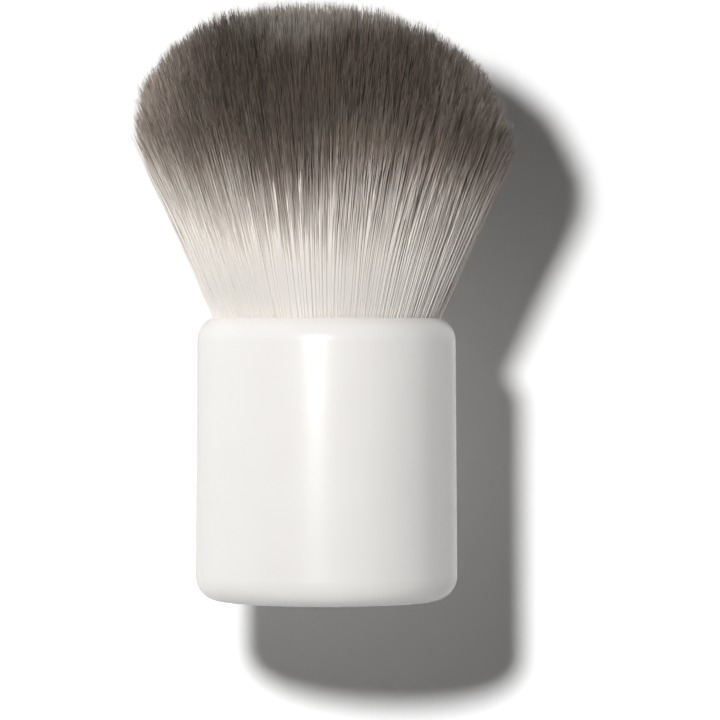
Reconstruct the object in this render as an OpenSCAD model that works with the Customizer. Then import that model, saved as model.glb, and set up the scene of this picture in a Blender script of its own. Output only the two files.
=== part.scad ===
// Short-handled powder brush that stands on its foot: a drafted white barrel with a rounded
// lip and foot, closed below by a cap, and a full fan of fibres held by a cup inside it.
// The origin is the centre of the flat foot, and +Z runs up the handle through the fibres.

/* [Handle shell] */
// Outside diameter of the handle just below its rounded lip
handle_d = 32.8; // [32:0.1:36]
// How much wider the handle is at its foot than at its lip, on each side
handle_draft = 0.2; // [0:0.05:0.8]
// Height of the handle from the table to the crest of its lip
handle_h = 35.7; // [32:0.1:60]
// Radius that rounds the outside of the lip
lip_round = 3.2; // [1:0.1:4]
// Radius that rounds the outside of the foot
foot_round = 3.1; // [1:0.1:3.6]
// Radius that breaks the inside edge of the mouth
mouth_edge = 0.3; // [0.2:0.05:0.5]
// Wall of the shell beside its lip
shell_wall = 1.4; // [1.2:0.05:1.8]
// Height of the collar that narrows the bore to the mouth
collar_h = 3.5; // [3:0.1:5]

/* [Foot cap] */
// Thickness of the cap's disc
cap_t = 1.6; // [1.2:0.1:2.4]
// Height that the cap's spigot reaches above the table
spigot_h = 6; // [5:0.1:8]
// Wall of the cap's spigot
spigot_wall = 1.5; // [1:0.1:1.8]
// Radius of the snap bead round the spigot
bead_r = 0.3; // [0.2:0.05:0.4]
// Distance from the spigot's top down to the bead
bead_drop = 1.2; // [0.8:0.1:2]
// Gap between the cap and the bore
cap_gap = 0.05; // [0.02:0.01:0.1]

/* [Weight] */
// Height of the steel weight
weight_h = 7; // [4:0.1:8]
// Gap between the weight and the pocket round it
weight_gap = 0.2; // [0.1:0.05:0.4]
// Chamfer on the edges of the weight
weight_chamfer = 0.5; // [0.2:0.1:1]
// Thickness of the foam pad that keeps the weight still
pad_t = 1.5; // [1:0.1:2.5]

/* [Carrier] */
// Gap between the carrier and the bore
carrier_gap = 0.1; // [0.05:0.01:0.15]
// Wall of the carrier beside the ferrule
carrier_wall = 0.8; // [0.7:0.05:1]
// Thickness of the carrier's floor
carrier_floor = 1.6; // [1:0.1:2.4]
// Thickness of each rib that runs from the floor down to the pad
rib_t = 1.2; // [0.8:0.1:2]
// Number of ribs that cross under the floor
rib_count = 3; // [2:1:4]

/* [Ferrule] */
// Gap between the ferrule and the carrier
ferrule_gap = 0.1; // [0.05:0.01:0.15]
// Gap between the ferrule and the mouth
mouth_gap = 0.5; // [0.4:0.05:0.6]
// Height of the ferrule
ferrule_h = 18; // [14:0.5:20]
// Wall of the drawn ferrule
ferrule_wall = 0.4; // [0.3:0.05:0.5]
// Distance from the crest of the lip down to the ferrule's rim
ferrule_drop = 2; // [1.5:0.1:3]
// Radius that rounds the ferrule's bottom edge
ferrule_round = 1; // [0.6:0.1:1.5]

/* [Roots] */
// Thickness of the glue that the roots are set in
glue_t = 3.5; // [2:0.1:5]
// Gap between the glue or the roots and the ferrule
root_gap = 0.05; // [0.03:0.01:0.1]
// Diameter of the thread that ties the roots
thread_d = 0.45; // [0.3:0.05:0.5]
// Number of turns of that thread
thread_turns = 3; // [2:1:5]
// Height of the tie above the glue
tie_rise = 1; // [0.5:0.1:2]

/* [Fibres] */
// Number of modelled strands, each standing for a lock of fibres
strands = 400; // [300:10:420]
// Radius of a strand where it leaves the packed roots
strand_r = 0.55; // [0.3:0.01:0.56]
// Widest radius of the head
head_r = 24.2; // [21:0.1:27]
// Height of the widest place above the crest of the lip
head_wide_h = 20.5; // [18:0.5:30]
// Height of the head's top above the crest of the lip
head_h = 40; // [34:0.5:50]
// How far the sides bow out from a straight fan
head_bow = 0; // [0:0.05:0.8]
// How square the dome is: 2 is an ellipse, and more is squarer
dome_power = 2.2; // [2:0.1:3]
// Slope of the dome, which is higher on the left
dome_tilt = 3.2; // [0:0.1:8]
// How far the head leans to the left at its widest place
head_lean = 0.35; // [0:0.05:1]
// How far strands end short of the dome, at most
tip_spread = 0.8; // [0:0.1:1.5]

/* [Hidden] */
$fn = 96;

// Radii from the lip inwards: the bore, the carrier in it, the ferrule in that, and the mouth over it
lip_r = handle_d / 2;
foot_r = lip_r + handle_draft;
bore_r = lip_r - shell_wall;
carrier_r = bore_r - carrier_gap;
seat_r = carrier_r - carrier_wall;
ferrule_r = seat_r - ferrule_gap;
cup_r = ferrule_r - ferrule_wall;
mouth_r = ferrule_r + mouth_gap;
shoulder_z = handle_h - collar_h;

// The lip's arc runs up to the crest beside the mouth, short of its own top where the mouth is wide
crest_r = mouth_r + mouth_edge;
lip_arc_r = lip_r - lip_round;
lip_arc_z = handle_h - sqrt(lip_round ^ 2 - max(0, crest_r - lip_arc_r) ^ 2);
foot_arc_r = foot_r - foot_round;

spigot_r = bore_r - cap_gap;
pocket_r = spigot_r - spigot_wall;
bead_z = spigot_h - bead_drop;
weight_r = pocket_r - weight_gap;
pad_z = cap_t + weight_h;
rib_z = pad_z + pad_t;

// The ferrule hangs its height below its rim, and the carrier's floor is under it
ferrule_top = handle_h - ferrule_drop;
seat_z = ferrule_top - ferrule_h;
floor_z = seat_z - carrier_floor;

// The roots stand in the glue, are drawn in by the tie and fill the ferrule up to its rim
pack_r = cup_r - root_gap;
glue_z = seat_z + ferrule_wall;
root_z = glue_z + glue_t;
turn_rise = 0.9 * thread_d;
tie_z = root_z + tie_rise + thread_d / 2;
tie_top = tie_z + (thread_turns - 1) * turn_rise + thread_d / 2;
waist_r = pack_r - thread_d - root_gap;

// Fan of the strands above the ferrule's rim
fan_h = head_wide_h + ferrule_drop;
dome_h = head_h - head_wide_h;
layout_r = pack_r - strand_r;
// Angle between one strand and the next, which fills a disc evenly
golden_turn = 180 * (3 - sqrt(5));
// Shares of a strand's length at its knee, where the fan bows, and at its neck, where it tapers
knee = 0.55;
neck = 0.9;
// Sides of a strand
sides = 3;

// Radius of the fan's outer side, at a height above the ferrule's rim
function fan_r(v) = let (t = v / fan_h)
    pack_r + (head_r - pack_r) * t + 4 * head_bow * t * (1 - t);
// Width of the fan at a height, set against the packed roots
function spread(v) = fan_r(v) / pack_r;
// Above zero outside the dome, for a strand at share q of the radius and at angle a
function outside(q, a, v) = let (
    r = q * fan_r(v),
    rise = v - fan_h + r * cos(a) * tan(dome_tilt))
    (r / head_r) ^ dome_power + (max(0, rise) / dome_h) ^ dome_power - 1;
// Height at which a strand meets the dome, found by halving the interval
function reach(q, a, low, high, steps = 18) = let (mid = (low + high) / 2)
    steps == 0 ? mid
    : outside(q, a, mid) > 0 ? reach(q, a, low, mid, steps - 1)
    : reach(q, a, mid, high, steps - 1);

// Point at radius r and angle a, at a height above the ferrule's rim where the head leans
function leaning(r, a, v) = [r * cos(a) - head_lean * v / fan_h, r * sin(a), ferrule_top + v];
// One ring of a strand's corners
function ring(c, r, turn) =
    [for (i = [0:sides - 1]) let (b = turn + i * 360 / sides) c + r * [cos(b), sin(b), 0]];
// The corners of one strand of length v: rings at its foot, knee and neck, and its tip
function strand_points(q, a, v) = let (r = q * layout_r, wide = [spread(knee * v), spread(neck * v)])
    concat(
        ring([r * cos(a), r * sin(a), ferrule_top], strand_r, a),
        ring(leaning(r * wide[0], a, knee * v), strand_r * wide[0], a),
        ring(leaning(r * wide[1], a, neck * v), strand_r * wide[1], a),
        [leaning(q * fan_r(v), a, v)]);
// The faces of one strand, whose first corner is number s
function strand_faces(s) = concat(
    [[s, s + 1, s + 2]],
    [for (k = [0:1], i = [0:sides - 1]) let (j = (i + 1) % sides, b = s + k * sides)
        [b + i, b + sides + j, b + j]],
    [for (k = [0:1], i = [0:sides - 1]) let (j = (i + 1) % sides, b = s + k * sides)
        [b + i, b + sides + i, b + sides + j]],
    [for (i = [0:sides - 1]) [s + 2 * sides + i, s + 3 * sides, s + 2 * sides + (i + 1) % sides]]);

// Outline of the whole handle from its axis outwards, with the draft between the two arcs
module handle_outline() {
    fall = atan2(lip_arc_z - foot_round, lip_arc_r - foot_arc_r);
    span = norm([lip_arc_z - foot_round, lip_arc_r - foot_arc_r]);
    draft = fall - acos((foot_round - lip_round) / span);
    side = [cos(draft), sin(draft)];
    translate([foot_arc_r, foot_round]) circle(foot_round);
    translate([lip_arc_r, lip_arc_z]) circle(lip_round);
    polygon([
        [0, 0],
        [foot_arc_r, 0],
        [foot_arc_r, foot_round] + foot_round * side,
        [lip_arc_r, lip_arc_z] + lip_round * side,
        [lip_arc_r, lip_arc_z + lip_round],
        [0, lip_arc_z + lip_round],
    ]);
}

module handle_shell() {
    color("#f1efed")
    difference() {
        rotate_extrude() difference() {
            handle_outline();
            square([mouth_r, handle_h + lip_round]);
            translate([0, handle_h]) square([foot_r, lip_round]);
            difference() {
                translate([mouth_r - mouth_edge, handle_h - mouth_edge]) square(2 * mouth_edge);
                translate([crest_r, handle_h - mouth_edge]) circle(mouth_edge);
                translate([crest_r, 0]) square([foot_r, handle_h]);
            }
        }
        translate([0, 0, -1]) cylinder(r = bore_r, h = shoulder_z + 1);
        snap_ring(bore_r, bead_r + cap_gap);
    }
}

// Ring whose section is a circle of radius s on a cylinder of radius r
module snap_ring(r, s) {
    translate([0, 0, bead_z]) rotate_extrude() translate([r, 0]) circle(s, $fn = 32);
}

module base_cap() {
    color("#f1efed")
    difference() {
        union() {
            rotate_extrude() intersection() {
                handle_outline();
                square([spigot_r, spigot_h]);
            }
            snap_ring(spigot_r, bead_r);
        }
        translate([0, 0, cap_t]) cylinder(r = pocket_r, h = spigot_h);
    }
}

module base_weight() {
    color("#8b8d8f")
    rotate_extrude() translate([0, cap_t]) polygon([
        [0, 0],
        [weight_r - weight_chamfer, 0],
        [weight_r, weight_chamfer],
        [weight_r, weight_h - weight_chamfer],
        [weight_r - weight_chamfer, weight_h],
        [0, weight_h],
    ]);
}

module weight_pad() {
    color("#3b3d40")
    translate([0, 0, pad_z]) cylinder(r = weight_r, h = pad_t);
}

module inner_carrier() {
    color("#d9d7d2")
    difference() {
        translate([0, 0, spigot_h]) cylinder(r = carrier_r, h = shoulder_z - spigot_h);
        translate([0, 0, seat_z]) cylinder(r = seat_r, h = shoulder_z);
        difference() {
            cylinder(r = pocket_r, h = floor_z);
            for (i = [0:rib_count - 1]) rotate(i * 180 / rib_count)
                translate([-bore_r, -rib_t / 2, rib_z]) cube([2 * bore_r, rib_t, floor_z]);
        }
    }
}

module ferrule() {
    color("#c3c5c7")
    rotate_extrude() difference() {
        cup_section(ferrule_r, seat_z, ferrule_round);
        cup_section(cup_r, seat_z + ferrule_wall, ferrule_round - ferrule_wall);
        translate([0, ferrule_top]) square([bore_r, handle_h]);
    }
}

// Half section of a round column of radius r from height z up past the rim, its bottom edge rounded by e
module cup_section(r, z, e) {
    translate([r - e, z + e]) circle(e, $fn = 48);
    translate([0, z]) square([r - e, handle_h]);
    translate([0, z + e]) square([r, handle_h]);
}

module glue_plug() {
    color("#d8c79a")
    rotate_extrude() intersection() {
        cup_section(pack_r, glue_z, ferrule_round - ferrule_wall);
        square([bore_r, root_z]);
    }
}

module root_binding() {
    color("#efe9da")
    rotate_extrude()
    for (i = [0:thread_turns - 1])
        translate([waist_r + root_gap + thread_d / 2, tie_z + i * turn_rise])
        circle(d = thread_d, $fn = 24);
}

module hair_tuft() {
    shares = [for (n = [0:strands - 1]) sqrt((n + 0.5) / strands)];
    short = rands(0, tip_spread, strands, 7);
    points = [for (n = [0:strands - 1]) let (a = n * golden_turn, q = shares[n])
        each strand_points(q, a, reach(q, a, 0, 2 * head_h) - short[n])];
    faces = [for (n = [0:strands - 1]) each strand_faces(n * (3 * sides + 1))];
    color("#7d736b") {
        polyhedron(points, faces);
        translate([0, 0, ferrule_top]) mirror([0, 0, 1]) {
            cylinder(r = waist_r, h = ferrule_top - root_z);
            cylinder(r = pack_r, h = ferrule_top - tie_top - thread_d);
        }
    }
}

handle_shell();
base_cap();
base_weight();
weight_pad();
inner_carrier();
ferrule();
glue_plug();
root_binding();
hair_tuft();
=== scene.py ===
# Looks of the kabuki brush: gloss white handle, two-tone fibres, pale studio.
# Lengths are millimetres until they reach Blender, which gets metres. +Z runs up the handle.

import math

import bpy
import numpy as np
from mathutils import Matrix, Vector


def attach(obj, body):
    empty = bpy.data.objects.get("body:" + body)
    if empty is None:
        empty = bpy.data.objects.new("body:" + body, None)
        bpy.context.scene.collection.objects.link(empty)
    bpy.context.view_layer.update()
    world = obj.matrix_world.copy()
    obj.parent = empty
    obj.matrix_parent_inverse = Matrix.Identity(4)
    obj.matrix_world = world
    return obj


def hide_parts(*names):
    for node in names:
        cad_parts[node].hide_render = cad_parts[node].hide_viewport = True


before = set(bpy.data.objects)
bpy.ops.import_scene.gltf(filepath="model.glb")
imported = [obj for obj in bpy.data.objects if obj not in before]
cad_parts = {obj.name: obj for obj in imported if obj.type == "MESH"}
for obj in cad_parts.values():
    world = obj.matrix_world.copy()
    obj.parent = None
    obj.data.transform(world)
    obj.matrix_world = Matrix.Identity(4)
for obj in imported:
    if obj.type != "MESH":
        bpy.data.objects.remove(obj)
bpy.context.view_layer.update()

MM = 0.001


def linear(hex_code):
    """Colour written as sRGB hex, as the linear values that a shader takes."""
    parts = [int(hex_code[i:i + 2], 16) / 255 for i in (1, 3, 5)]
    return [p / 12.92 if p <= 0.04045 else ((p + 0.055) / 1.055) ** 2.4 for p in parts] + [1.0]


def add(tree, kind, inputs=None, **settings):
    """Adds a node, sets what it is set to, and fills or links its inputs by name or by place."""
    made = tree.nodes.new(kind)
    for name, value in settings.items():
        setattr(made, name, value)
    pairs = inputs.items() if isinstance(inputs, dict) else enumerate(inputs or [])
    for where, value in pairs:
        if value is None:
            continue
        if isinstance(value, bpy.types.Node):
            value = next(s for s in value.outputs if s.enabled)
        if isinstance(value, bpy.types.NodeSocket):
            tree.links.new(value, made.inputs[where])
        else:
            made.inputs[where].default_value = value
    return made


# Camera
CAMERA_X, CAMERA_Z, CAMERA_BACK = 4.25, 30.48, 480
LENS, SENSOR = 189, 36

camera = bpy.data.objects.new("camera", bpy.data.cameras.new("camera"))
camera.data.lens = LENS
camera.data.sensor_width = SENSOR
camera.data.clip_start, camera.data.clip_end = 0.01, 10
camera.location = (CAMERA_X * MM, -CAMERA_BACK * MM, CAMERA_Z * MM)
camera.rotation_euler = (math.radians(90), 0, 0)
bpy.context.scene.collection.objects.link(camera)
bpy.context.scene.camera = camera
bpy.context.scene.view_settings.view_transform = "Standard"


# Materials
def material(name):
    """An empty material of that name, with its tree and its output node."""
    made = bpy.data.materials.new(name)
    made.use_nodes = True
    made.node_tree.nodes.clear()
    return made, made.node_tree, made.node_tree.nodes.new("ShaderNodeOutputMaterial")


def varied(name, low, high, grain, rough, stretch=(1, 1, 1), bump=0.0, detail=2.0, **even):
    """A material whose colour, gloss and height vary over grain millimetres.
    even holds what is the same all over."""
    made, tree, out = material(name)
    place = add(tree, "ShaderNodeTexCoord").outputs["Object"]
    place = add(tree, "ShaderNodeMapping", {"Vector": place, "Scale": stretch})
    pattern = add(tree, "ShaderNodeTexNoise", {
        "Vector": place, "Scale": 1 / (grain * MM), "Detail": detail})
    colour = add(tree, "ShaderNodeMix", {
        0: pattern.outputs["Fac"], 6: linear(low), 7: linear(high)}, data_type="RGBA")
    gloss = add(tree, "ShaderNodeMapRange", {
        "Value": pattern.outputs["Fac"], "From Min": 0.25, "From Max": 0.75,
        "To Min": rough[0], "To Max": rough[1]})
    given = {"Base Color": colour.outputs[2], "Roughness": gloss, **even}
    if bump:
        given["Normal"] = add(tree, "ShaderNodeBump", {
            "Strength": 0.6, "Distance": bump * MM, "Height": pattern.outputs["Fac"]})
    tree.links.new(add(tree, "ShaderNodeBsdfPrincipled", given).outputs[0], out.inputs[0])
    return made


def moulded_abs():
    """Injection-moulded white ABS, polished: even white, soft highlights, a faint waviness in the gloss."""
    made, tree, out = material("injection_moulded_white_abs")
    place = add(tree, "ShaderNodeTexCoord").outputs["Object"]
    # Slow drift in the white over about 9 mm, as thick and thin wall cool apart
    drift = add(tree, "ShaderNodeTexNoise", {"Vector": place, "Scale": 1 / (9 * MM), "Detail": 2.0})
    colour = add(tree, "ShaderNodeMix", {
        0: drift.outputs["Fac"], 6: linear("#eeebe8"), 7: linear("#f4f2ef")}, data_type="RGBA")
    # Polishing marks of about 0.5 mm in the gloss
    marks = add(tree, "ShaderNodeTexNoise", {"Vector": place, "Scale": 1 / (0.5 * MM), "Detail": 3.0})
    rough = add(tree, "ShaderNodeMapRange", {"Value": marks.outputs["Fac"], "To Min": 0.2, "To Max": 0.28})
    # Waviness of about 2.5 mm that a moulded wall keeps
    wave = add(tree, "ShaderNodeTexNoise", {"Vector": place, "Scale": 1 / (2.5 * MM), "Detail": 1.0})
    bump = add(tree, "ShaderNodeBump", {
        "Strength": 0.25, "Distance": 0.02 * MM, "Height": wave.outputs["Fac"]})
    surface = add(tree, "ShaderNodeBsdfPrincipled", {
        "Base Color": colour.outputs[2], "Roughness": rough, "Normal": bump, "IOR": 1.53})
    tree.links.new(surface.outputs[0], out.inputs[0])
    return made


# Heights that the dye's map runs between
MAP_LOW, MAP_HIGH = 33, 76
# Shares of the way from the one to the other, and the fibre's colour there. The paler last colour, on the
# tips at the top of the dome, is painted light and not dye
DYE_AND_PAINTED_TOP_LIGHT = [(0.0, "#ede8e3"), (0.33, "#ece6df"), (0.43, "#e1d9d1"), (0.50, "#bdb0a7"), (0.57, "#93867b"),
       (0.66, "#73685e"), (0.76, "#6b6056"), (0.88, "#6b6056"), (1.0, "#b8b0a7")]
# How far the edge of the dye strays from lock to lock, as a share of the map
DYE_STRAY = 0.10
# Least and most that a fibre's own shade takes its colour times, in the ivory and in the dyed length
IVORY_SHADE, DYED_SHADE = (0.97, 1.0), (0.42, 1.5)
# Shares of the map between which the ivory gives way to the dye
IVORY_TO, DYED_FROM = 0.3, 0.55
# Height of the point that the pattern on the packed fibres runs out from, under the fan
APEX = 2.3


def dyed_with_painted_light(name, own):
    """Drawn polyester fibre, dip-dyed: ivory at the root, grey-brown at the tip, each lock its own shade. The
    tips at the top of the dome are paler, which is painted light.
    own is for fibres that are mapped to a column of their own. Otherwise the pattern runs along the fan
    that the fibres make."""
    made, tree, out = material(name)
    if own:
        split = add(tree, "ShaderNodeSeparateXYZ", [add(tree, "ShaderNodeUVMap", uv_map="OFBake")])
        across, height = add(tree, "ShaderNodeCombineXYZ", [split.outputs[0], 0.0, 0.0]), split.outputs[1]
        fine, coarse = 60.0, 16.0
    else:
        # Across the fan: the way from its apex, which is the same all along a fibre
        spot = add(tree, "ShaderNodeTexCoord").outputs["Object"]
        up = add(tree, "ShaderNodeSeparateXYZ", [spot]).outputs[2]
        over = add(tree, "ShaderNodeMath", [up, APEX * MM], operation="SUBTRACT")
        over = add(tree, "ShaderNodeMath", [1.0, over], operation="DIVIDE")
        across = add(tree, "ShaderNodeVectorMath", {0: spot, "Scale": over}, operation="SCALE")
        across = add(tree, "ShaderNodeVectorMath", [across, (1, 1, 0)], operation="MULTIPLY")
        height = add(tree, "ShaderNodeMapRange", {
            "Value": up, "From Min": MAP_LOW * MM, "From Max": MAP_HIGH * MM})
        fine, coarse = 240.0, 60.0
    shade = add(tree, "ShaderNodeTexNoise", {
        "Vector": across, "Scale": fine, "Detail": 3.0, "Roughness": 0.7})
    lift = add(tree, "ShaderNodeTexNoise", {
        "Vector": across, "Scale": coarse, "Detail": 5.0, "Roughness": 0.8})
    stray = add(tree, "ShaderNodeMapRange", {
        "Value": lift.outputs["Fac"], "From Min": 0.3, "From Max": 0.7,
        "To Min": -DYE_STRAY, "To Max": DYE_STRAY}, clamp=False)
    place = add(tree, "ShaderNodeMath", [height, stray], operation="ADD")
    # The ramp ends in a paler colour at the top of the dome: painted light on the tips, not dye
    ramp = add(tree, "ShaderNodeValToRGB", [place])
    elements = ramp.color_ramp.elements
    while len(elements) < len(DYE_AND_PAINTED_TOP_LIGHT):
        elements.new(0.5)
    for element, (where, code) in zip(elements, DYE_AND_PAINTED_TOP_LIGHT):
        element.position, element.color = where, linear(code)
    # The ivory is even, and the dyed length differs from lock to lock
    least, most = [
        add(tree, "ShaderNodeMapRange", {
            "Value": place, "From Min": IVORY_TO, "From Max": DYED_FROM, "To Min": ivory, "To Max": dark})
        for ivory, dark in zip(IVORY_SHADE, DYED_SHADE)]
    tone = add(tree, "ShaderNodeMapRange", {
        "Value": shade.outputs["Fac"], "From Min": 0.38, "From Max": 0.62,
        "To Min": least, "To Max": most})
    toned = add(tree, "ShaderNodeVectorMath", [ramp.outputs[0], tone], operation="MULTIPLY")
    surface = add(tree, "ShaderNodeBsdfPrincipled", {
        "Base Color": toned, "Roughness": 0.5, "IOR": 1.5, "Specular IOR Level": 0.3})
    tree.links.new(surface.outputs[0], out.inputs[0])
    return made


WHITE_ABS = moulded_abs()
FIBRE = dyed_with_painted_light("drawn_polyester_fibre_dip_dyed_painted_light", True)
PACKED = dyed_with_painted_light("packed_polyester_fibre_dip_dyed_painted_light", False)
# Turned mild steel: fine rings round the axis give it a grey, streaky shine
STEEL = varied("turned_mild_steel", "#87898b", "#9c9ea0", 0.25, (0.28, 0.42), (1, 1, 6), 0.01, Metallic=1.0)
# Die-cut closed-cell foam: matt, with the small pits of its cells
FOAM = varied("die_cut_closed_cell_foam", "#33363a", "#45484c", 0.4, (0.8, 0.95), (1, 1, 1), 0.12, 4.0)
# Injection-moulded ABS left in its own cream colour and as it leaves the mould, satin
PLAIN_ABS = varied("injection_moulded_natural_abs", "#d6d3c9", "#e0ddd4", 3.0, (0.4, 0.5), (1, 1, 1), 0.01,
                   IOR=1.53)
# Deep-drawn aluminium: the punch leaves fine lines up the wall
ALUMINIUM = varied("deep_drawn_aluminium", "#c2c4c6", "#d2d4d5", 0.3, (0.2, 0.32), (1, 1, 0.06), 0.006,
                   Metallic=1.0)
# Cast epoxy: amber, clear and smooth, a little cloudy where it met the fibres
EPOXY = varied("cast_epoxy", "#cdb887", "#ddcda3", 2.0, (0.12, 0.2), (1, 1, 1), 0.02, IOR=1.55)
# Twisted polyester thread: the plies show as slanted ribs, 0.2 mm apart
THREAD = varied("twisted_polyester_thread", "#e2dccd", "#f3efe4", 0.2, (0.6, 0.75), (1, 1, 2), 0.05)

DRESSES = {"handle_shell": WHITE_ABS, "base_cap": WHITE_ABS, "base_weight": STEEL, "weight_pad": FOAM,
           "inner_carrier": PLAIN_ABS, "ferrule": ALUMINIUM, "glue_plug": EPOXY, "root_binding": THREAD}
for name, dress in DRESSES.items():
    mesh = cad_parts[name].data
    mesh.materials.clear()
    mesh.materials.append(dress)


# Fibres
# Height of the ferrule's rim, 2 mm under the crest of the lip
RIM = 33.7
# Radius of the fan at the rim and at its widest place, and the height of that above the rim
PACK_R, HEAD_R, FAN_H = 13.5, 24.2, 22.5
# Height of the dome over the widest place, and how square it is
DOME_H, POWER = 19.4, 2.2
# Slope of the dome, up on the left and down on the right
TILT_LEFT, TILT_RIGHT = math.tan(math.radians(2.9)), math.tan(math.radians(2.6))
# How far the head leans to the left at its widest place, and how far its sides bow out
LEAN, BOW = 0.35, -0.15

PIECES, PER_PIECE = 9, 7400
FIBRES = PIECES * PER_PIECE
# Power that sets how the fibres crowd outwards in the fan, where 0.5 is even
CROWD = 0.46
# How much further out than its root a fibre near the axis ends
TIP_CROWD = 0.206
# Noise in a fibre's angle, in its tip and in its bend
TURN_NOISE, TIP_NOISE, BEND_NOISE = 0.004, 0.2, 0.03
# For each size of lock: how many, pull to the lock's middle, sway, cut, and weight in the shade
LOCKS = (300, 0.06, 0.28, 0.3, 0.4), (3000, 0.5, 0.16, 0.6, 0.45)
# A fibre's own part in its shade
OWN_SHADE = 0.02
# Share of the radius from which fibres stand off, and the middle, spread, least and most of that
LOOSE_FROM, LOOSE_BY, LOOSE_SPREAD, LOOSE_LEAST, LOOSE_MOST = 0.93, -0.2, 0.45, -1.2, 1.0
# Fibres that stray, how far along each axis, and the furthest that a tip stands out of the fan
STRAYS, STRAY_BY, STRAY_LIMIT, OUT_LIMIT = 500, (0.8, 0.8, 0.2), 1.8, 0.9
# How much a fibre's own cut varies, what it is set against, and the least and most of the whole
CUT_SCALE, CUT_LESS, CUT_LEAST, CUT_MOST = 0.6, 0.75, -0.9, 4
# Least and most that a fibre's radius is taken times
WIDE = 0.8, 1.3
# How far down the dye reaches: all round, more at the front and back, and at the left and the right. At the
# left it is pulled up, partly the dye's own edge and partly painted light, and at the right it is pushed down
# as painted shade
DYE_ALL, DYE_FRONT, DYE_UP_PAINTED_LIGHT_LEFT, PAINTED_SHADE_DYE_DOWN_RIGHT = 0.3, 1.6, -1.6, 5.0
# Places across the head, and how far down the waves of the dye's edge reach there
WAVE_AT, WAVE_BY = (-17, -12, -4, 4, 12, 16), (0.8, -0.7, 1.5, -1.4, -0.5, 0)
# Places across the head, and the share of the dye's map that tips get to there: a painted light that keeps
# tips at the sides paler
PAINTED_LIGHT_AT = -24, -19, -15.4, -13, -12, 12, 13, 15, 19, 24
PAINTED_LIGHT_TO = 0.5, 0.55, 0.62, 0.68, 1, 1, 0.68, 0.62, 0.58, 0.56
# How that share varies from fibre to fibre, and the height under which tips on the right get to all of the
# map, with no painted light
PAINTED_LIGHT_NOISE, FULL_UNDER = 0.03, 60


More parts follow.
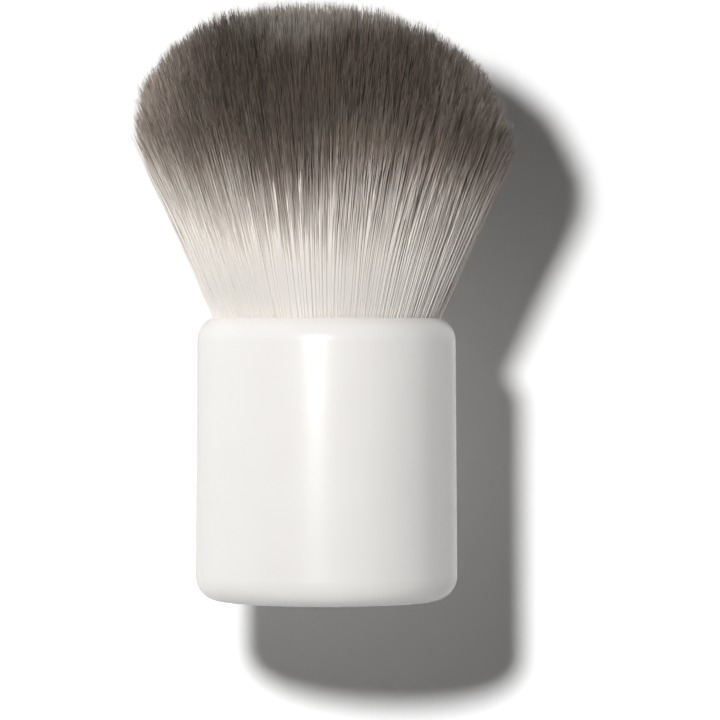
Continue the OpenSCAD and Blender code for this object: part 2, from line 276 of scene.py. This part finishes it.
def fibre_tree():
    """Tree that stands a tapered fibre on each point, from the point to its tip, and maps its length."""
    tree = bpy.data.node_groups.new("tapered_fibres", "GeometryNodeTree")
    tree.is_modifier = True
    face = tree.interface
    face.new_socket("Points", in_out="INPUT", socket_type="NodeSocketGeometry")
    for name, kind in (("Rings", "Int"), ("Sides", "Int"), ("Root radius", "Float"), ("Tip share", "Float"),
                       ("Sway power", "Float"), ("Map bottom", "Float"), ("Map top", "Float"),
                       ("Material", "Material")):
        face.new_socket(name, in_out="INPUT", socket_type="NodeSocket" + kind)
    face.new_socket("Fibres", in_out="OUTPUT", socket_type="NodeSocketGeometry")
    given = add(tree, "NodeGroupInput")

    line = add(tree, "GeometryNodeCurvePrimitiveLine", {"Start": (0, 0, 0), "End": (0, 0, MM)})
    line = add(tree, "GeometryNodeResampleCurve", {"Curve": line, "Count": given.outputs["Rings"]})
    stood = add(tree, "GeometryNodeInstanceOnPoints", {"Points": given.outputs["Points"], "Instance": line})
    strands = add(tree, "GeometryNodeRealizeInstances", [stood])

    # Way up the fibre, with the rings closer together towards the tip, where more happens
    along = add(tree, "ShaderNodeMath", [add(tree, "GeometryNodeSplineParameter").outputs["Factor"], 0.8],
                operation="POWER").outputs[0]
    root, tip, bend, sway, wide, most = [
        add(tree, "GeometryNodeInputNamedAttribute", {"Name": name}, data_type=kind)
        for name, kind in (("root", "FLOAT_VECTOR"), ("tip", "FLOAT_VECTOR"), ("bend", "FLOAT_VECTOR"),
                           ("sway", "FLOAT_VECTOR"), ("wide", "FLOAT"), ("most", "FLOAT"))]
    straight = add(tree, "ShaderNodeMix", {0: along, 4: root.outputs[0], 5: tip.outputs[0]},
                   data_type="VECTOR")
    back = add(tree, "ShaderNodeMath", [1.0, along], operation="SUBTRACT")
    bow = add(tree, "ShaderNodeMath", [along, back], operation="MULTIPLY")
    bow = add(tree, "ShaderNodeMath", [bow, 4.0], operation="MULTIPLY")
    bent = add(tree, "ShaderNodeVectorMath", {0: bend.outputs[0], "Scale": bow}, operation="SCALE")
    # The tip holds the sway already, and a power of the way up keeps it out of the lower part
    late = add(tree, "ShaderNodeMath", [along, given.outputs["Sway power"]], operation="POWER")
    late = add(tree, "ShaderNodeMath", [late, along], operation="SUBTRACT")
    swung = add(tree, "ShaderNodeVectorMath", {0: sway.outputs[0], "Scale": late}, operation="SCALE")
    place = add(tree, "ShaderNodeVectorMath", [straight.outputs[1], bent], operation="ADD")
    place = add(tree, "ShaderNodeVectorMath", [place, swung], operation="ADD")
    strands = add(tree, "GeometryNodeSetPosition", {"Geometry": strands, "Position": place})

    # Nearly full width for half the way, then down to the tip
    late = add(tree, "ShaderNodeMath", [along, 3.0], operation="POWER")
    taper = add(tree, "ShaderNodeMapRange", {
        "Value": late, "To Min": 1.0, "To Max": given.outputs["Tip share"]})
    radius = add(tree, "ShaderNodeMath", [taper, given.outputs["Root radius"]], operation="MULTIPLY")
    radius = add(tree, "ShaderNodeMath", [radius, wide.outputs[0]], operation="MULTIPLY")
    section = add(tree, "GeometryNodeCurvePrimitiveCircle", {
        "Resolution": given.outputs["Sides"], "Radius": 1.0})
    factor = add(tree, "GeometryNodeSplineParameter").outputs["Factor"]
    section = add(tree, "GeometryNodeStoreNamedAttribute", {
        "Geometry": section, "Name": "around", "Value": factor}, data_type="FLOAT", domain="POINT")
    tubes = add(tree, "GeometryNodeCurveToMesh", {
        "Curve": strands, "Profile Curve": section, "Fill Caps": True, "Scale": radius})

    # Map of the fibre: its own column, and its height, up to the most that it is given, a cap that paints
    # light on tips at the sides
    column, around = [add(tree, "GeometryNodeInputNamedAttribute", {"Name": name}, data_type="FLOAT")
                      for name in ("column", "around")]
    inside = add(tree, "ShaderNodeMath", [around.outputs[0], 0.004, column.outputs[0]],
                 operation="MULTIPLY_ADD")
    level = add(tree, "ShaderNodeSeparateXYZ", [add(tree, "GeometryNodeInputPosition")])
    dye = add(tree, "GeometryNodeInputNamedAttribute", {"Name": "dye"}, data_type="FLOAT")
    level = add(tree, "ShaderNodeMath", [level.outputs[2], dye.outputs[0]], operation="ADD")
    level = add(tree, "ShaderNodeMapRange", {"Value": level, "From Min": given.outputs["Map bottom"],
                                             "From Max": given.outputs["Map top"]})
    level = add(tree, "ShaderNodeMath", [level, most.outputs[0]], operation="MINIMUM")
    spot = add(tree, "ShaderNodeCombineXYZ", [inside, level, 0.0])
    mapped = add(tree, "GeometryNodeStoreNamedAttribute", {
        "Geometry": tubes, "Name": "OFBake", "Value": spot}, data_type="FLOAT2", domain="CORNER")
    smooth = add(tree, "GeometryNodeSetShadeSmooth", {"Geometry": mapped})
    whole = add(tree, "GeometryNodeRealizeInstances", [smooth])
    dressed = add(tree, "GeometryNodeSetMaterial", {"Geometry": whole, "Material": given.outputs["Material"]})
    done = add(tree, "NodeGroupOutput")
    tree.links.new(dressed.outputs[0], done.inputs[0])
    return tree


def fan_of_fibres(draw):
    """What the tree reads of each fibre, from the axis outwards: lengths in mm, and shares."""
    n = np.arange(FIBRES)
    share = ((n + 0.5) / FIBRES) ** CROWD
    turn = n * math.pi * (3 - math.sqrt(5)) + draw.normal(0, TURN_NOISE, FIBRES)
    outwards = np.stack([np.cos(turn), np.sin(turn), np.zeros(FIBRES)], 1)
    tip_share = share * (1 + TIP_CROWD * (1 - share ** 2))
    tip_r = tip_share * HEAD_R
    tip_x, tip_y = tip_r * np.cos(turn), tip_r * np.sin(turn)
    rise = DOME_H * np.clip(1 - tip_share ** POWER, 0, 1) ** (1 / POWER)
    tip_v = FAN_H - tip_x * np.where(tip_x < 0, TILT_LEFT, TILT_RIGHT) + rise
    root = np.stack([share * PACK_R * np.cos(turn), share * PACK_R * np.sin(turn), np.full(FIBRES, RIM)], 1)
    tip = np.stack([tip_x - LEAN * tip_v / FAN_H, tip_y, RIM + tip_v], 1)

    # Locks: tips lean towards the middle of their lock, and the whole lock sways and ends a little short
    short = np.zeros(FIBRES)
    tone = np.zeros(FIBRES)
    even = tip.copy()
    for count, pull, sway, cut, weight in LOCKS:
        heads = even[draw.choice(FIBRES, count, replace=False)]
        mine = nearest(even, heads)
        tip += (heads[mine] - even) * pull * draw.uniform(0.5, 1.2, count)[mine][:, None]
        tip += (np.clip(draw.normal(0, 1, (count, 3)), -2, 2) * sway * (1, 1, 0.4))[mine]
        short += (draw.uniform(0, 1, count) ** 2 * cut)[mine]
        tone += draw.uniform(0, weight, count)[mine]
    tone += draw.uniform(0, OWN_SHADE, FIBRES)
    tip += np.clip(draw.normal(0, 1, (FIBRES, 3)), -2, 2) * TIP_NOISE
    # The outermost fibres stand off from the fan a little, each by its own amount, so the outline is soft
    loose = draw.normal(LOOSE_BY, LOOSE_SPREAD, FIBRES).clip(LOOSE_LEAST, LOOSE_MOST)
    tip += outwards * (np.clip(share - LOOSE_FROM, 0, 1) / (1 - LOOSE_FROM) * loose)[:, None]
    # A few fibres stray from their lock and cross their neighbours
    stray = draw.choice(FIBRES, STRAYS, replace=False)
    tip[stray] += np.clip(draw.normal(0, 1, (STRAYS, 3)), -STRAY_LIMIT, STRAY_LIMIT) * STRAY_BY
    sway = tip - even
    bend = outwards * (BOW * share)[:, None] + draw.normal(0, BEND_NOISE, (FIBRES, 3)) * (1, 1, 0)
    # Most fibres end within a millimetre of the dome, some just over it and a few well short of it
    short += draw.gamma(2, CUT_SCALE, FIBRES) - CUT_LESS
    reach = 1 - np.clip(short, CUT_LEAST, CUT_MOST) / np.linalg.norm(tip - root, axis=1)
    tip = root + (tip - root) * reach[:, None]
    # No stray tip stands more than a little way out of the fan
    inward = np.minimum(1, (HEAD_R + OUT_LIMIT) / np.hypot(tip[:, 0] + LEAN, tip[:, 1]))
    tip[:, 0], tip[:, 1] = (tip[:, 0] + LEAN) * inward - LEAN, tip[:, 1] * inward
    wide = draw.uniform(*WIDE, FIBRES)
    # The dye reaches further down at the front and the back. At the left it reaches less far down, partly the
    # dye's own edge and partly painted light, and at the right further down, a painted shade on the darker
    # side
    dye = DYE_ALL - DYE_FRONT * np.cos(2 * turn)
    dye += np.where(tip_x < 0, DYE_UP_PAINTED_LIGHT_LEFT, PAINTED_SHADE_DYE_DOWN_RIGHT) * np.cos(turn) ** 4
    # Its edge is wavy, with an ivory tongue on each side of a dark one
    dye += np.interp(tip_x, WAVE_AT, WAVE_BY)
    # Tips at the sides of the fan get no further than a paler share of the map: painted light, for the light
    # that shines through them there
    most = np.interp(tip[:, 0], PAINTED_LIGHT_AT, PAINTED_LIGHT_TO) + draw.normal(0, PAINTED_LIGHT_NOISE, FIBRES)
    most = np.where((tip_x > 0) & (tip[:, 2] < FULL_UNDER), 1.0, most)
    return {"root": root, "tip": tip, "bend": bend, "sway": sway, "column": tone, "wide": wide, "dye": dye,
            "most": most}


def nearest(points, heads, step=4000):
    """Number of the head nearest to each point."""
    found = np.empty(len(points), int)
    for at in range(0, len(points), step):
        part = points[at:at + step]
        far = (part ** 2).sum(1)[:, None] - 2 * part @ heads.T + (heads ** 2).sum(1)[None]
        found[at:at + step] = far.argmin(1)
    return found


def fibres_piece(name, tree, fibres, sizes):
    """One plain mesh of the fibres that the tree makes with those sizes."""
    cloud = bpy.data.meshes.new(name + "_points")
    cloud.from_pydata((fibres["root"] * MM).tolist(), [], [])
    for key, values in fibres.items():
        values = values * (1 if key in ("column", "wide", "most") else MM)
        layer = cloud.attributes.new(key, "FLOAT_VECTOR" if values.ndim == 2 else "FLOAT", "POINT")
        layer.data.foreach_set("vector" if values.ndim == 2 else "value", np.ravel(values).astype(np.float32))
    maker = bpy.data.objects.new(name + "_maker", cloud)
    bpy.context.scene.collection.objects.link(maker)
    modifier = maker.modifiers.new("fibres", "NODES")
    modifier.node_group = tree
    for item in tree.interface.items_tree:
        if item.in_out == "INPUT" and item.name in sizes:
            modifier[item.identifier] = sizes[item.name]
    ready = maker.evaluated_get(bpy.context.evaluated_depsgraph_get())
    mesh = bpy.data.meshes.new_from_object(ready)
    mesh.name = name
    for key in [*fibres, "around"]:
        if key in mesh.attributes:
            mesh.attributes.remove(mesh.attributes[key])
    bpy.data.objects.remove(maker)
    bpy.data.meshes.remove(cloud)
    piece = bpy.data.objects.new(name, mesh)
    bpy.context.scene.collection.objects.link(piece)
    return piece


def turned(name, profile, dress, slope=0, lean=0.0, sides=192):
    """Closed solid of revolution whose profile of (radius, height) starts and ends on the axis."""
    rings = profile[1:-1]
    spin = np.arange(sides) * 2 * math.pi / sides
    points = [(r * math.cos(a), r * math.sin(a), z) for r, z in rings for a in spin]
    points += [(0, 0, profile[0][1]), (0, 0, profile[-1][1])]
    low, high = len(points) - 2, len(points) - 1
    faces = [(k + i, k + (i + 1) % sides, k + sides + (i + 1) % sides, k + sides + i)
             for k in range(0, (len(rings) - 1) * sides, sides) for i in range(sides)]
    top = (len(rings) - 1) * sides
    faces += [(low, (i + 1) % sides, i) for i in range(sides)]
    faces += [(high, top + i, top + (i + 1) % sides) for i in range(sides)]
    # The head is cut on a slope and leans, both in step with the height above the rim
    up = [(z - RIM) / FAN_H for x, y, z in points]
    points = [(x - lean * v, y, z - slope * x * (TILT_LEFT if x < 0 else TILT_RIGHT) * v)
              for (x, y, z), v in zip(points, up)]
    mesh = bpy.data.meshes.new(name)
    mesh.from_pydata([(x * MM, y * MM, z * MM) for x, y, z in points], [], faces)
    mesh.shade_smooth()
    mesh.materials.append(dress)
    made = bpy.data.objects.new(name, mesh)
    bpy.context.scene.collection.objects.link(made)
    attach(made, "root")
    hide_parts("hair_tuft")
    return made


# Fibres inside the fan, too deep to tell apart: the sides follow the fan, and the top stays under the tips
SIDE_H, HEART_H = 20, 14
# How deep the sides lie under the fan's at the rim, and how much deeper they get
HEART_IN, HEART_DRAWN = 0.07, 2.4
heart = [(0, RIM)]
for v in np.linspace(0, SIDE_H, 21):
    t = v / FAN_H
    fan_r = PACK_R + (HEAD_R - PACK_R) * t + 4 * BOW * t * (1 - t)
    heart.append((fan_r - HEART_IN - HEART_DRAWN * (v / SIDE_H) ** 3, RIM + v))
side = heart[-1][0]
for a in np.linspace(0, math.pi / 2, 16)[1:]:
    heart.append((side * math.cos(a), RIM + SIDE_H + HEART_H * math.sin(a)))
heart[-1] = (0, heart[-1][1])
turned("packed_fibres", heart, PACKED, 1, LEAN)

# Roots of the fibres in the cup, drawn in by the thread and cut off flat in the glue
ROOT_Z, TIE_TOP, WAIST_R, ROOT_R = 19.6, 22.31, 13.05, 13.55
turned("packed_roots", [(0, ROOT_Z), (WAIST_R, ROOT_Z), (WAIST_R, TIE_TOP), (ROOT_R, TIE_TOP), (ROOT_R, RIM),
                        (0, RIM)], PACKED)

TREE = fibre_tree()
SIZES = {"Rings": 5, "Sides": 3, "Root radius": 0.065 * MM, "Tip share": 0.15, "Sway power": 3.0,
         "Map bottom": MAP_LOW * MM, "Map top": MAP_HIGH * MM, "Material": FIBRE}
fan = fan_of_fibres(np.random.default_rng(11))
for k in range(PIECES):
    part = slice(k * PER_PIECE, (k + 1) * PER_PIECE)
    layer = {key: values[part] for key, values in fan.items()}
    piece = fibres_piece(f"fibre_layer_{k + 1}", TREE, layer, SIZES)
    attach(piece, "root")
    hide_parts("hair_tuft")


# Stage
# Half the width of the sheet, and how far it stands behind the axis
SHEET_HALF, SHEET_Y = 500, 50
# Height of its middle, how far from there it starts and stops to get paler, and its colour at each
SHEET_MIDDLE, SHEET_FROM, SHEET_TO, SHEET_NEAR, SHEET_FAR = 45, 45, 400, 1.22, 6.0
# Share of that colour that the gloss of the handle shows
SHEET_IN_GLOSS = 0.4
# Where the key lamp is, where it points, its width and its watts
KEY_AT, KEY_AIM, KEY_WIDTH, KEY_LIGHT = (-45, -297, 82), (0, 0, 38), 25, 0.80
# Glow of the room from the left and from the right
GLOW_LEFT, GLOW_RIGHT = 0.06, 0.03


def sheet_behind():
    """Pale sheet behind the brush, which takes its shadow. Seen from behind it isn't there."""
    made, tree, out = material("pale_paper_sheet")
    path = add(tree, "ShaderNodeLightPath")
    side = add(tree, "ShaderNodeNewGeometry").outputs["Backfacing"]
    # Away from the brush it is paler, so that it stays white where the key light falls off
    place = add(tree, "ShaderNodeTexCoord").outputs["Object"]
    away = add(tree, "ShaderNodeVectorMath", [place, (0, 0, SHEET_MIDDLE * MM)], operation="DISTANCE")
    shade = add(tree, "ShaderNodeMapRange", {
        "Value": away.outputs["Value"], "From Min": SHEET_FROM * MM, "From Max": SHEET_TO * MM,
        "To Min": SHEET_NEAR, "To Max": SHEET_FAR})
    lit = add(tree, "ShaderNodeBsdfDiffuse", {"Color": shade})
    # It lights the brush as a sheet does, and the gloss of the handle shows some of its white
    pale = add(tree, "ShaderNodeBsdfDiffuse", {"Color": linear("#d2d2d2")})
    seen = add(tree, "ShaderNodeMath", [
        path.outputs["Is Glossy Ray"], SHEET_IN_GLOSS, path.outputs["Is Camera Ray"]],
        operation="MULTIPLY_ADD")
    front = add(tree, "ShaderNodeMixShader", [seen, pale, lit])
    gone = add(tree, "ShaderNodeMath", [side, path.outputs["Is Shadow Ray"]], operation="MAXIMUM")
    clear = add(tree, "ShaderNodeBsdfTransparent")
    whole = add(tree, "ShaderNodeMixShader", [gone, front, clear])
    tree.links.new(whole.outputs[0], out.inputs[0])
    half, y = SHEET_HALF * MM, SHEET_Y * MM
    mesh = bpy.data.meshes.new("pale_sheet")
    mesh.from_pydata([(-half, y, -half), (half, y, -half), (half, y, half), (-half, y, half)], [],
                     [(0, 1, 2, 3)])
    mesh.materials.append(made)
    sheet = bpy.data.objects.new("pale_sheet", mesh)
    bpy.context.scene.collection.objects.link(sheet)


def sun(name, towards, strength, width, glossy=False):
    """Distant lamp whose light runs along towards. Without glossy it leaves no highlight."""
    lamp = bpy.data.objects.new(name, bpy.data.lights.new(name, "SUN"))
    lamp.data.energy = strength * math.pi
    lamp.data.angle = math.radians(width)
    lamp.rotation_mode = "QUATERNION"
    lamp.rotation_quaternion = Vector(towards).to_track_quat("-Z", "Y")
    lamp.visible_glossy = glossy
    bpy.context.scene.collection.objects.link(lamp)


def key_lamp():
    """Small soft lamp near the brush, which casts its shadow."""
    lamp = bpy.data.objects.new("key", bpy.data.lights.new("key", "AREA"))
    lamp.data.shape, lamp.data.size, lamp.data.energy = "DISK", KEY_WIDTH * MM, KEY_LIGHT
    lamp.location, lamp.rotation_mode = Vector(KEY_AT) * MM, "QUATERNION"
    lamp.rotation_quaternion = (Vector(KEY_AIM) * MM - lamp.location).to_track_quat("-Z", "Y")
    lamp.visible_camera = False
    bpy.context.scene.collection.objects.link(lamp)


def pale_room():
    """White to the camera and in the gloss, and a dim glow on the brush, brighter on the window's side."""
    world = bpy.data.worlds.new("pale_room")
    bpy.context.scene.world = world
    world.use_nodes = True
    tree = world.node_tree
    tree.nodes.clear()
    path = add(tree, "ShaderNodeLightPath")
    seen = add(tree, "ShaderNodeMath", [path.outputs["Is Camera Ray"], path.outputs["Is Glossy Ray"]],
               operation="MAXIMUM")
    side = add(tree, "ShaderNodeSeparateXYZ", [add(tree, "ShaderNodeTexCoord").outputs["Generated"]])
    glow = add(tree, "ShaderNodeMapRange", {
        "Value": side, "From Min": -1.0, "From Max": 0.7, "To Min": GLOW_LEFT, "To Max": GLOW_RIGHT})
    dim = add(tree, "ShaderNodeBackground", {"Color": (1, 1, 1, 1), "Strength": glow})
    bright = add(tree, "ShaderNodeBackground", {"Color": (1, 1, 1, 1), "Strength": 1.0})
    add(tree, "ShaderNodeOutputWorld", [add(tree, "ShaderNodeMixShader", [seen, dim, bright])])


sheet_behind()
key_lamp()
# Way that the light of each runs, its strength, its width in degrees, and whether the gloss shows it
sun("back", (0, -1, -0.55), 0.08, 12)
sun("rim", (-0.6, -0.8, -0.1), 0.24, 30, True)
sun("side", (-1, -0.1, -0.1), 0.09, 10)
sun("window", (1, -0.5, -0.1), 0.74, 40)
sun("bounce", (0, -0.1, 1), 0.26, 10)
pale_room()
